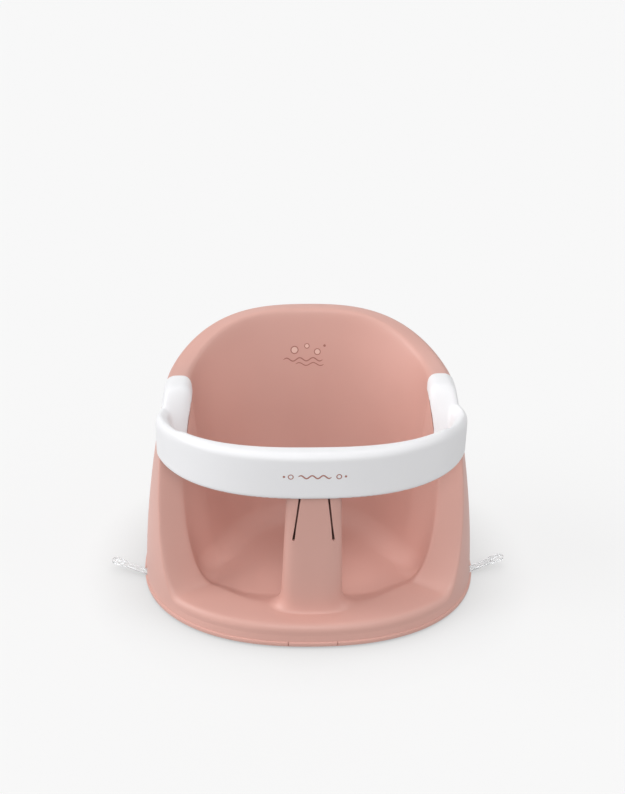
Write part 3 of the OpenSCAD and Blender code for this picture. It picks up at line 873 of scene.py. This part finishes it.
def shoulder(p):
    """Where the bar runs into the ears: their shoulder is one soft shape."""
    return hump(SHOULDER_X, abs(p.x)) * hump(SHOULDER_Y, p.y) * blend(*SHOULDER_Z, p.z)


VOXEL, RELAX_BAR, MELT_SHOULDER = 1.0, 5, 60
remesh(bar, VOXEL, RELAX_BAR, shoulder, MELT_SHOULDER)
clean(bar)
shade(bar, BAR_CREASE)
dress(bar, WHITE, "bar_plastic", "safety_bar")


# Small prints: flat shapes laid on a face, a hair above it

def wave(cx, cy, length, height, turns, thick, steps=72):
    """Strip along a wavy line with rounded ends, and whether it closes."""
    mid = []
    for i in range(steps + 1):
        t = i / steps
        mid.append((cx + (t - 0.5) * length, cy + height / 2 * math.sin(2 * math.pi * turns * t)))
    up, down = [], []
    for i, (x, y) in enumerate(mid):
        a, b = mid[max(0, i - 1)], mid[min(steps, i + 1)]
        nx, ny = unit([a[1] - b[1], b[0] - a[0]])
        w = thick / 2 * math.sqrt(max(0.0, min(1.0, 12 * min(i, steps - i) / steps)))
        up.append((x + nx * w, y + ny * w))
        down.append((x - nx * w, y - ny * w))
    return [[u, d] for u, d in zip(up, down)], False


def circle(cx, cy, r0, r1, steps=40):
    """Strip round a circle, a disc when the inner radius is nearly nothing, and that it closes."""
    out = []
    for i in range(steps):
        a = 2 * math.pi * i / steps
        out.append([(cx + r * math.cos(a), cy + r * math.sin(a)) for r in (r1, r0)])
    return out, True


def lay(name, shapes, ground, start, lift, material):
    """Lays flat shapes, given across and up, on the face met from a start plane going back."""
    bvh = BVHTree.FromObject(ground, bpy.context.evaluated_depsgraph_get())
    verts, faces = [], []
    for strip, closed in shapes:
        base = len(verts)
        for pair in strip:
            for x, z in pair:
                hit = bvh.ray_cast(Vector((x * MM, start * MM, z * MM)), Vector((0, 1, 0)))
                q = hit[0] + hit[1] * (lift * MM)
                verts.append((q.x / MM, q.y / MM, q.z / MM))
        n = len(strip)
        for i in range(n if closed else n - 1):
            a, b = base + 2 * i, base + 2 * ((i + 1) % n)
            faces.append((a, b, b + 1, a + 1))
    ob = mesh_object(name, verts, faces)
    ob.data.materials.append(material)
    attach(ob, "root")


ROSE = plastic("print_rose", srgb(168, 112, 100), srgb(160, 104, 93), 0.5, 0.1)
BLUSH = plastic("print_blush", srgb(232, 196, 184), srgb(228, 190, 178), 0.5, 0.1)
BACK_PRINT_Z, BAR_PRINT_Z = 199.0, 181.5
# from the seat's room towards the back, and from in front of the bar
BACK_START, BAR_START = 20, -200
LINE_LIFT, FILL_LIFT = 0.12, 0.1
DOT = 0.05
lay("back_print_lines", [
    wave(-3, BACK_PRINT_Z - 9, 42, 3.4, 3, 1.1),
    wave(4, BACK_PRINT_Z - 14, 30, 3.0, 2, 0.9),
    circle(-12, BACK_PRINT_Z + 1, 3.3, 4.2),
    circle(1, BACK_PRINT_Z + 5, 2.1, 2.8),
    circle(12, BACK_PRINT_Z - 1, 2.7, 3.5),
    circle(19.5, BACK_PRINT_Z + 5.5, DOT, 1.3),
], shell, BACK_START, LINE_LIFT, ROSE)
lay("back_print_fill", [
    circle(-12, BACK_PRINT_Z + 1, DOT, 3.1),
    circle(12, BACK_PRINT_Z - 1, DOT, 2.5),
    circle(1, BACK_PRINT_Z + 5, DOT, 1.9),
], shell, BACK_START, FILL_LIFT, BLUSH)
lay("bar_print", [
    wave(0, BAR_PRINT_Z, 30, 3.0, 3, 1.3),
    circle(-21.5, BAR_PRINT_Z, 1.7, 2.6),
    circle(21.5, BAR_PRINT_Z, 1.7, 2.6),
    circle(-27.5, BAR_PRINT_Z, DOT, 1.1),
    circle(27.5, BAR_PRINT_Z, DOT, 1.1),
], bar, BAR_START, LINE_LIFT, ROSE)

for cup in ("front_left", "front_right", "rear_left", "rear_right"):
    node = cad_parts["suction_cup_" + cup]
    node.data.materials.clear()
    node.data.materials.append(CLEAR)

# Stage, light and camera, in metres and degrees

FLOOR_SIDE, FLOOR_FRONT, FLOOR_BACK = 9, -9, 14
floor_me = bpy.data.meshes.new("floor")
floor_corners = [(-FLOOR_SIDE, FLOOR_FRONT, 0), (FLOOR_SIDE, FLOOR_FRONT, 0),
                 (FLOOR_SIDE, FLOOR_BACK, 0), (-FLOOR_SIDE, FLOOR_BACK, 0)]
floor_me.from_pydata(floor_corners, [], [(0, 1, 2, 3)])
floor = bpy.data.objects.new("floor", floor_me)
bpy.context.scene.collection.objects.link(floor)


def seen_ray(tree, others):
    """1 for a ray from the camera and for the other kinds of ray named, 0 for the rest."""
    nodes, links = tree.nodes, tree.links
    path = nodes.new("ShaderNodeLightPath")
    seen = path.outputs["Is Camera Ray"]
    for ray in others:
        either = nodes.new("ShaderNodeMath")
        either.operation = "MAXIMUM"
        links.new(seen, either.inputs[0])
        links.new(path.outputs[ray], either.inputs[1])
        seen = either.outputs[0]
    return seen


# tones of the floor, the plain share of the seen floor, and reach and depth of its painted near
# shadow
FLOOR_GREY, FLOOR_PALE, FLOOR_PLAIN, FLOOR_SHARE = 160, 234, 249, 0.8
FLOOR_NEAR, FLOOR_DIM = 0.07, 0.5


def floor_paint():
    """Mid grey for the light that it sends up, pale where it is seen, with faint cast shadows and
    a painted shadow close round the seat.
    """
    m = bpy.data.materials.new("floor_paint")
    m.use_nodes = True
    nodes, links = m.node_tree.nodes, m.node_tree.links
    grey = nodes["Principled BSDF"]
    pale = nodes.new("ShaderNodeBsdfPrincipled")
    for bsdf, tone in ((grey, FLOOR_GREY), (pale, FLOOR_PALE)):
        bsdf.inputs["Base Color"].default_value = srgb(tone, tone, tone)
        bsdf.inputs["Roughness"].default_value = 0.9
        bsdf.inputs["Specular IOR Level"].default_value = 0.1
    # painted shadow: ambient occlusion dims the glow of the seen floor near the seat, down to
    # FLOOR_DIM
    near = nodes.new("ShaderNodeAmbientOcclusion")
    near.inputs["Distance"].default_value = FLOOR_NEAR
    dim = nodes.new("ShaderNodeMapRange")
    dim.inputs["To Min"].default_value = FLOOR_DIM
    links.new(near.outputs["AO"], dim.inputs["Value"])
    plain = nodes.new("ShaderNodeEmission")
    plain.inputs["Color"].default_value = srgb(FLOOR_PLAIN, FLOOR_PLAIN, FLOOR_PLAIN)
    links.new(dim.outputs["Result"], plain.inputs["Strength"])
    shown = nodes.new("ShaderNodeMixShader")
    shown.inputs["Fac"].default_value = FLOOR_SHARE
    links.new(pale.outputs["BSDF"], shown.inputs[1])
    links.new(plain.outputs["Emission"], shown.inputs[2])
    both = nodes.new("ShaderNodeMixShader")
    seen = seen_ray(m.node_tree, ("Is Glossy Ray", "Is Transmission Ray"))
    links.new(seen, both.inputs["Fac"])
    links.new(grey.outputs["BSDF"], both.inputs[1])
    links.new(shown.outputs["Shader"], both.inputs[2])
    links.new(both.outputs["Shader"], nodes["Material Output"].inputs["Surface"])
    return m


floor_me.materials.append(floor_paint())


def light_world(strength, tone):
    """Even light from all round, with a pale backdrop where it is seen."""
    world = bpy.data.worlds.new("studio")
    bpy.context.scene.world = world
    world.use_nodes = True
    nodes, links = world.node_tree.nodes, world.node_tree.links
    light = nodes["Background"]
    light.inputs["Color"].default_value = (1, 1, 1, 1)
    light.inputs["Strength"].default_value = strength
    backdrop = nodes.new("ShaderNodeBackground")
    backdrop.inputs["Color"].default_value = srgb(tone, tone, tone)
    either = nodes.new("ShaderNodeMixShader")
    links.new(seen_ray(world.node_tree, ("Is Transmission Ray",)), either.inputs["Fac"])
    links.new(light.outputs["Background"], either.inputs[1])
    links.new(backdrop.outputs["Background"], either.inputs[2])
    links.new(either.outputs["Shader"], nodes["World Output"].inputs["Surface"])


light_world(0.33, 246)


def lamp(name, azimuth, elevation, strength, spread_deg):
    """Soft far lamp: azimuth 0 shines from the front, 90 from the viewer's right."""
    data = bpy.data.lights.new(name, "SUN")
    data.energy = strength
    data.angle = math.radians(spread_deg)
    ob = bpy.data.objects.new(name, data)
    bpy.context.scene.collection.objects.link(ob)
    a, e = math.radians(azimuth), math.radians(elevation)
    d = Vector((math.sin(a) * math.cos(e), -math.cos(a) * math.cos(e), math.sin(e)))
    ob.rotation_euler = d.to_track_quat("Z", "Y").to_euler()


lamp("left", -86, 27, 1.95, 50)
lamp("key", -4, 42, 0.78, 26)
lamp("front", 12, 24, 0.52, 50)
lamp("top", 180, 83, 0.42, 50)
lamp("right", 80, 28, 0.5, 50)
lamp("rear", 170, 30, 0.3, 50)

# camera: place, elevation and roll; middle and focal length in pixels of the picture
CAM_X, CAM_Z, CAM_EL, CAM_DIST, CAM_ROLL = -0.045, 0.1052, 30.0, 1.2, -0.5
CAM_CX, CAM_CY, CAM_F = 264.2, 475.4, 1178.0
IMAGE_W, IMAGE_H, SENSOR = 625, 794, 36
cam_data = bpy.data.cameras.new("camera")
cam = bpy.data.objects.new("camera", cam_data)
bpy.context.scene.collection.objects.link(cam)
cam.location = (CAM_X, -CAM_DIST * cosd(CAM_EL), CAM_Z + CAM_DIST * sind(CAM_EL))
cam.rotation_euler = (Matrix.Rotation(math.radians(90 - CAM_EL), 3, "X")
                      @ Matrix.Rotation(math.radians(CAM_ROLL), 3, "Z")).to_euler()
cam_data.sensor_width = SENSOR
cam_data.sensor_fit = "AUTO"
cam_data.lens = CAM_F / IMAGE_H * SENSOR
cam_data.shift_x = (IMAGE_W / 2 - CAM_CX) / IMAGE_H
cam_data.shift_y = (CAM_CY - IMAGE_H / 2) / IMAGE_H
cam_data.dof.use_dof = False
cam_data.clip_end = 50
bpy.context.scene.camera = cam
bpy.context.scene.view_settings.view_transform = "Standard"
